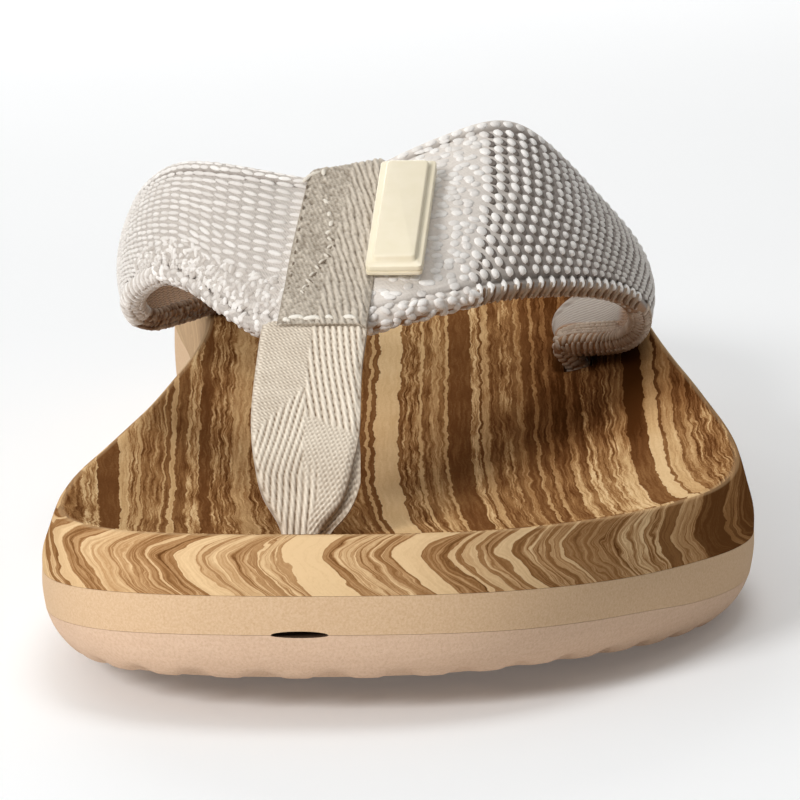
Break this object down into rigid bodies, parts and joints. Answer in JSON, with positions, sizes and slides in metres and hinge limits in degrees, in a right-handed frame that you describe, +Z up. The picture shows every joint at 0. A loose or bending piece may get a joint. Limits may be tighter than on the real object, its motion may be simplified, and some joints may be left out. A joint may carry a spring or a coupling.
{
  "type": "thong sandal",
  "caption": "Left thong sandal: layered foam sole with a dished footbed, and a wide woven band joined by a toe post, for wearing on a bare foot.",
  "frame": {"origin": "on the floor, under the middle of the bounding box", "axes": "+Z up, -Y towards the toe, +X towards the outer (little-toe) side of this left sandal"},
  "size_m": [0.103, 0.268, 0.0665],
  "materials": {
    "foam_rough": "fine rough foam, pinkish beige",
    "foam_beige": "smooth matte foam, yellowish beige",
    "foam_wood_look": "matte foam with brown and tan stripes like wood grain",
    "woven_yarn": "coarse off-white and taupe weave with a twill tape over it",
    "plate_cream": "satin pale cream"
  },
  "bodies": {
    "root": {"outsole": "foam_rough", "midsole": "foam_beige", "footbed": "foam_wood_look", "upper": "woven_yarn", "badge": "plate_cream"}
  },
  "joints": []
}
